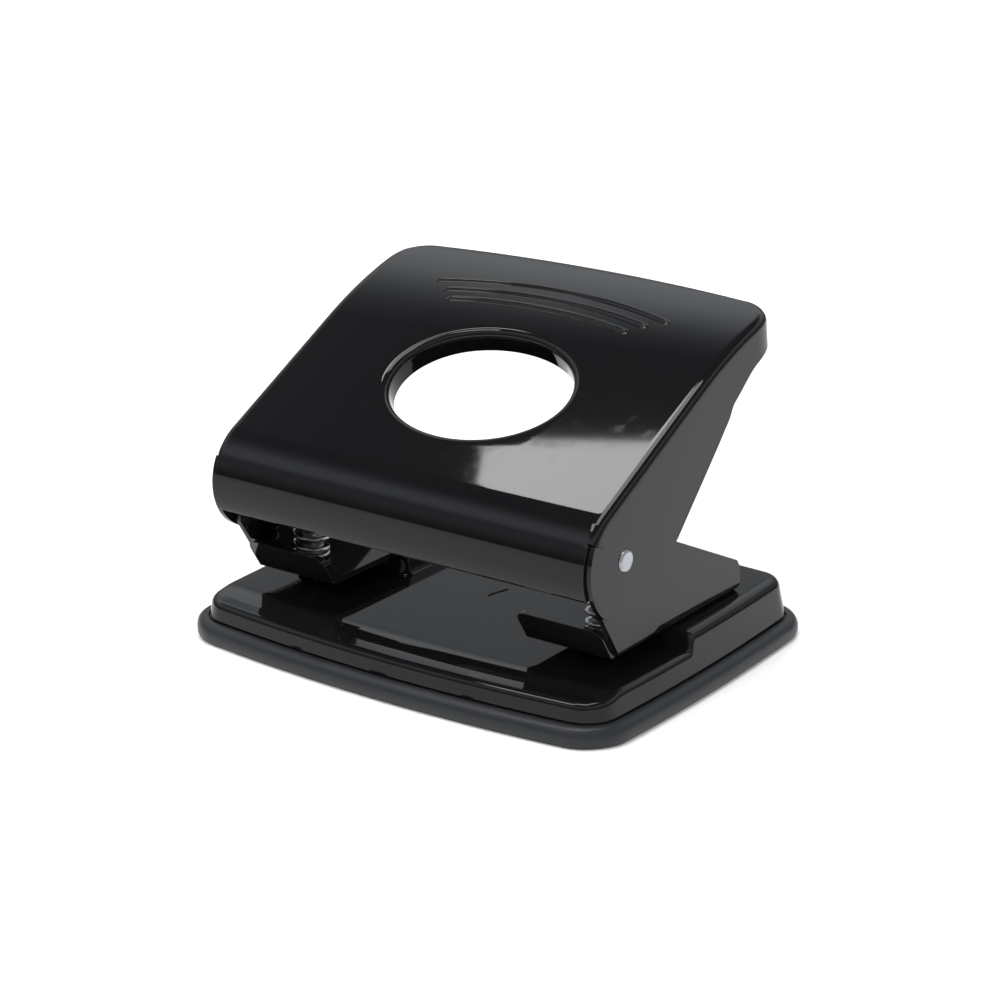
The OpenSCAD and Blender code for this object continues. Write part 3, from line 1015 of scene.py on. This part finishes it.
@dataclass
class Tray:
    """Moulded tray: a rounded rim, a ledge and a lip that snaps into the skirt."""

    outline: BaseOutline = field(default_factory=BaseOutline)
    snap: float = 4.65
    wall: float = 1.6
    floor: float = 1.5
    lip_foot: float = 5.0
    lip_top: float = 8.2
    lip_lean: float = 0.22
    order: dict[tuple[float, ...], int] = field(default_factory=dict)
    begin: int = 0

    def levels(self) -> list[tuple[float, float]]:
        """Inset and height of each ring, from the underside round to the inner floor."""
        rim = [(2.6, 0.0), (1.5, 0.0), (0.75, 0.2), (0.3, 0.65), (0.06, 1.3), (0.0, 2.1), (0.08, 2.9)]
        top = [(0.32, 3.55), (0.72, 4.1), (1.25, 4.5), (1.9, 4.7), (2.7, 4.7), (2.9, 4.6), (3.0, 4.1)]
        lean = self.lip_lean * (self.lip_top - self.lip_foot)
        lip = [(self.snap - 0.1, 4.1), (self.snap, 4.3), (self.snap, self.lip_foot)]
        lip += [(self.snap + lean, self.lip_top - 0.3), (self.snap + lean + 0.3, self.lip_top)]
        inner = self.snap + self.wall
        back = [(inner + lean - 0.3, self.lip_top), (inner + lean, self.lip_top - 0.3)]
        back += [(inner, self.lip_foot), (inner, self.floor + 0.6), (inner + 0.6, self.floor)]
        return rim + top + lip + back

    def build(self, wardrobe: Wardrobe) -> bpy.types.Object:
        """Lofts the tray ring by ring from a circle, closes both floors and dresses it."""
        bpy.ops.object.select_all(action="DESELECT")
        levels = self.levels()
        first = self.outline.ring(levels[0][0])
        bpy.ops.mesh.primitive_circle_add(vertices=len(first), radius=1.0, fill_type="NOTHING")
        tray = bpy.context.object
        tray.name = tray.data.name = "chip_tray"
        bpy.ops.object.mode_set(mode="EDIT")
        bpy.ops.mesh.select_mode(type="EDGE")
        bpy.ops.mesh.select_all(action="SELECT")
        bpy.ops.mesh.edge_face_add()
        self.lay(tray, levels[0])
        for level in levels[1:]:
            bpy.ops.mesh.extrude_region_move(
                TRANSFORM_OT_translate={"value": (0.0, 0.0, 0.0)}
            )
            self.lay(tray, level)
        bpy.ops.mesh.select_all(action="SELECT")
        bpy.ops.mesh.normals_make_consistent(inside=False)
        bpy.ops.object.mode_set(mode="OBJECT")
        smooth(tray, 55.0)
        apply(tray, "WEIGHTED_NORMAL", keep_sharp=True, weight=60)
        wardrobe.dress(tray, Slot.GREY_MOULDING)
        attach(tray, Body.TRAY.value)
        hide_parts("base_tray")
        return tray

    def lay(self, tray: bpy.types.Object, level: tuple[float, float]) -> None:
        """Moves the selected ring to its inset and height, keeping its order round the plan."""
        inset, height = level
        points = self.outline.ring(inset)
        mesh = bmesh.from_edit_mesh(tray.data)
        ring = [vertex for vertex in mesh.verts if vertex.select]
        if self.order:
            ring.sort(key=lambda v: self.order[v.co.to_tuple(7)])
        else:
            ring.sort(key=lambda v: math.atan2(v.co.y, v.co.x) % math.tau)
            turns = [math.atan2(y, x) % math.tau for x, y in points]
            self.begin = turns.index(min(turns))
        chosen = points[self.begin :] + points[: self.begin]
        self.order = {}
        for index, (vertex, (x, y)) in enumerate(zip(ring, chosen)):
            vertex.co = Vector((x, y, height)) * MM
            self.order[vertex.co.to_tuple(7)] = index
        bmesh.update_edit_mesh(tray.data)


# ---------------------------------------------------------------- steel parts


@dataclass
class Bracket:
    """Folded bracket with an upright, a guide plate and a lip bent up at its front."""

    outer: float = 48.7
    under: float = 13.7
    sheet: float = 1.3
    fold: float = 1.7
    lip_corner: float = 2.6
    lip_low: float = 19.0

    def build(self, side: Side, wardrobe: Wardrobe) -> bpy.types.Object:
        """Copies, folds, rounds and dresses one bracket."""
        node = f"{side.word}_bracket"
        piece = cad_copy(f"{side.word}_cheek", node)
        low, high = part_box(node)
        outer = high.x if side is Side.RIGHT else low.x
        bpy.ops.object.mode_set(mode="EDIT")

        def at_fold(edge: bmesh.types.BMEdge) -> bool:
            """The outer lower edge, which runs along Y."""
            a, b = (v.co for v in edge.verts)
            return all(
                abs(c.x - outer) < 1e-5 and abs(c.z - self.under * MM) < 1e-5 for c in (a, b)
            )

        def at_lip_corner(edge: bmesh.types.BMEdge) -> bool:
            """The short edges through the sheet at the lip's two upper corners."""
            a, b = (v.co for v in edge.verts)
            level = abs(a.z - b.z) < 1e-5 and abs(a.x - b.x) < 1e-5 and min(a.z, b.z) > self.lip_low * MM
            return level and (a - b).length < 2.2 * MM and max(a.y, b.y) < low.y + 4 * MM

        if choose(piece, at_fold):
            bpy.ops.mesh.bevel(offset=self.fold * MM, segments=6, affect="EDGES")
        if choose(piece, at_lip_corner):
            bpy.ops.mesh.bevel(offset=self.lip_corner * MM, segments=6, affect="EDGES")
        bpy.ops.object.mode_set(mode="OBJECT")
        soften(piece, 0.22, 3, 40.0)
        wardrobe.dress(piece, Slot.BRACKET_ENAMEL)
        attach(piece, Body.FRAME.value)
        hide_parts(node)
        return piece


@dataclass(frozen=True)
class SteelPart:
    """A small part that keeps its solid and gets rounded edges and its finish."""

    node: str
    name: str
    body: Body
    slot: Slot
    edge: float
    segments: int = 3

    def build(self, wardrobe: Wardrobe) -> bpy.types.Object:
        """Copies, rounds and dresses the part."""
        piece = cad_copy(self.name, self.node)
        soften(piece, self.edge, self.segments, 40.0)
        wardrobe.dress(piece, self.slot)
        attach(piece, self.body.value)
        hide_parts(self.node)
        return piece


def steel_parts() -> list[SteelPart]:
    """Every small steel part on both sides."""
    parts = [SteelPart("pivot_axle", "hinge_axle", Body.FRAME, Slot.ZINC, 0.35, 4)]
    for side in Side:
        hand = side.word
        parts += [
            SteelPart(f"{hand}_pin_guide", f"{hand}_guide_angle", Body.FRAME, Slot.BRACKET_ENAMEL, 0.25),
            SteelPart(f"{hand}_bracket_rivets", f"{hand}_rivets", Body.FRAME, Slot.BRACKET_ENAMEL, 0.45, 4),
            SteelPart(f"{hand}_axle_ring", f"{hand}_axle_clip", Body.FRAME, Slot.ZINC, 0.12),
            SteelPart(f"{hand}_press_saddle", f"{hand}_nose", Body.LEVER, Slot.ZINC, 0.2),
            SteelPart(f"{hand}_punch_pin", f"{hand}_cutting_pin", side.punch, Slot.BRIGHT, 0.1),
            SteelPart(f"{hand}_pin_clip", f"{hand}_retaining_clip", side.punch, Slot.ZINC, 0.12),
            SteelPart(f"{hand}_spring_washer", f"{hand}_washer", side.punch, Slot.BRIGHT, 0.1),
        ]
    return parts


@dataclass
class ReturnSpring:
    """Compression spring wound round a pin, with a closed turn at each end."""

    wire: float = 0.85
    across: float = 8.9
    turns: int = 4
    end_turns: int = 1
    steps: int = 28
    keep: float = 0.56

    def build(self, side: Side, wardrobe: Wardrobe) -> bpy.types.Object:
        """Winds the wire, turns it into a mesh and ties it to the frame."""
        node = f"{side.word}_return_spring"
        low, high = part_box(node)
        centre = (low + high) / 2
        wire = self.wire * MM
        radius = (self.across * MM - wire) / 2
        everything = self.turns + 2 * self.end_turns
        rise = high.z - low.z - wire
        close = wire * 0.52
        curve = bpy.data.curves.new(f"{side.word}_coil", "CURVE")
        curve.dimensions = "3D"
        curve.bevel_depth = wire / 2
        curve.bevel_resolution = 3
        curve.use_fill_caps = True
        path = curve.splines.new("POLY")
        path.points.add(everything * self.steps)
        for index, point in enumerate(path.points):
            turn = index / self.steps
            last = everything - turn
            middle = close + (rise - 2 * close) * (turn - self.end_turns) / self.turns
            z = turn * close if turn < self.end_turns else middle
            z = rise - last * close if last < self.end_turns else z
            angle = math.tau * turn * side.value
            point.co = (
                centre.x + radius * math.cos(angle) * side.value,
                centre.y + radius * math.sin(angle) * side.value,
                low.z + wire / 2 + z,
                1.0,
            )
        piece = bpy.data.objects.new(f"{side.word}_coil", curve)
        bpy.context.scene.collection.objects.link(piece)
        only(piece)
        bpy.ops.object.convert(target="MESH")
        piece = bpy.context.object
        smooth(piece, 50.0)
        wardrobe.dress(piece, Slot.SPRING)
        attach(piece, Body.FRAME.value)
        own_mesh(piece)
        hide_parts(node)
        return piece


# ---------------------------------------------------------------- studio


@dataclass
class SoftBox:
    """A rectangular soft box, in metres and watts.

    A box with a turn faces straight down, turned by so many degrees. Any other points at its aim.
    """

    name: str
    place: Point
    aim: Point
    size: tuple[float, float]
    power: float
    mirrored_in: bool = False
    turn: float | None = None


SOFT_BOXES = (
    SoftBox("card_over", (-0.5, 0.163, 1.0), (0, 0, 0.05), (0.26, 0.13), 1.35, True, 10.5),
    SoftBox("card_top", (-0.05, -0.1, 1.3), (-0.05, -0.1, 0.0), (0.7, 0.7), 11.0, True),
    SoftBox("card_front", (-0.53, -0.58, 1.3), (-0.53, -0.58, 0), (0.36, 0.4), 3.8, True),
    SoftBox("front_fill", (0.2, -1.6, 1.5), (0.0, 0.0, 0.0), (1.6, 1.2), 16.0),
    SoftBox("side_fill", (1.7, -0.2, 1.2), (0.0, 0.0, 0.0), (1.6, 1.2), 16.0),
    SoftBox("rear_fill", (-0.6, 1.9, 1.3), (0.0, 0.0, 0.0), (1.8, 1.2), 14.0),
)


@dataclass
class Studio:
    """Pale floor, soft boxes and the camera."""

    eye: Point = (0.3413, -0.4757, 0.2392)
    target: Point = (0.0074, -0.0084, 0.0358)
    lens: float = 101.03
    sensor: float = 36.0
    floor_size: float = 6.0
    floor_tones: tuple[float, float] = (0.86, 0.88)
    horizon_level: float = 0.42
    belt_level: float = 0.8
    overhead_level: float = 0.05
    least_level: float = 0.06

    def floor(self) -> None:
        """Lays a wide pale floor."""
        bpy.ops.object.select_all(action="DESELECT")
        bpy.ops.mesh.primitive_plane_add(size=self.floor_size, location=(0.0, 0.0, 0.0))
        plane = bpy.context.object
        plane.name = "studio_floor"
        g = Graph("studio_floor")
        dark, pale = self.floor_tones
        tone = g.mix(g.noise(3.0), (dark, dark, dark), (pale, pale, pale))
        plane.data.materials.append(g.principled(Base_Color=tone, Roughness=0.9))

    def light(self, box: SoftBox) -> None:
        """Hangs one soft box.

        Args:
            box: The soft box.
        """
        data = bpy.data.lights.new(box.name, "AREA")
        data.shape = "RECTANGLE"
        data.size, data.size_y = box.size
        data.energy = box.power
        lamp = bpy.data.objects.new(box.name, data)
        lamp.location = box.place
        if box.turn is None:
            aim = Vector(box.aim) - Vector(box.place)
            lamp.rotation_euler = aim.to_track_quat("-Z", "Y").to_euler()
        else:
            lamp.rotation_euler = (0.0, 0.0, math.radians(box.turn))
        lamp.visible_glossy = box.mirrored_in
        bpy.context.scene.collection.objects.link(lamp)

    def world(self) -> None:
        """Sets the surround: dim at the floor's level and overhead, with a bright belt between."""
        world = bpy.data.worlds.new("surround")
        bpy.context.scene.world = world
        g = Graph("surround", world)
        rise = g.node("ShaderNodeSeparateXYZ", {}, {0: g.node("ShaderNodeTexCoord")}, "Z")
        belt = rise.ramp(0.02, 0.30) * self.horizon_level + rise.ramp(0.42, 0.54) * self.belt_level
        overhead = rise.ramp(0.70, 0.80) * self.overhead_level
        level = belt * (1 - rise.ramp(0.60, 0.80)) + overhead + self.least_level
        tint = (0.92, 0.96, 1.0, 1.0)
        shader = g.node("ShaderNodeBackground", {}, {"Color": tint, "Strength": level})
        g.node("ShaderNodeOutputWorld", {}, {"Surface": shader})

    def camera(self) -> None:
        """Places the camera."""
        data = bpy.data.cameras.new("camera")
        data.lens = self.lens
        data.sensor_width = self.sensor
        data.clip_start = 0.01
        camera = bpy.data.objects.new("camera", data)
        camera.location = self.eye
        aim = Vector(self.target) - Vector(self.eye)
        camera.rotation_euler = aim.to_track_quat("-Z", "Y").to_euler()
        bpy.context.scene.collection.objects.link(camera)
        bpy.context.scene.camera = camera

    def build(self) -> None:
        """Sets the floor, the lights and the camera."""
        self.floor()
        self.world()
        self.camera()
        for box in SOFT_BOXES:
            self.light(box)
        bpy.context.scene.view_settings.view_transform = "Standard"


# ---------------------------------------------------------------- assembly


def main() -> None:
    """Builds the punch, sub-assembly by sub-assembly, and reports each piece."""
    logging.basicConfig(level=logging.INFO, format="%(name)s: %(message)s")
    wardrobe = Wardrobe()
    pieces = [Tray().build(wardrobe), BasePlate().build(wardrobe)]
    for side in Side:
        pieces.append(Bracket().build(side, wardrobe))
        pieces.append(ReturnSpring().build(side, wardrobe))
    pieces += [part.build(wardrobe) for part in steel_parts()]
    pieces.append(Lever().build(wardrobe))
    for piece in pieces:
        low, high = piece.bound_box[0], piece.bound_box[6]
        size = [round((b - a) / MM, 1) for a, b in zip(low, high)]
        LOG.info("%s: %d faces, %s mm", piece.name, len(piece.data.polygons), size)
    Studio().build()


if __name__ == "__main__":
    main()
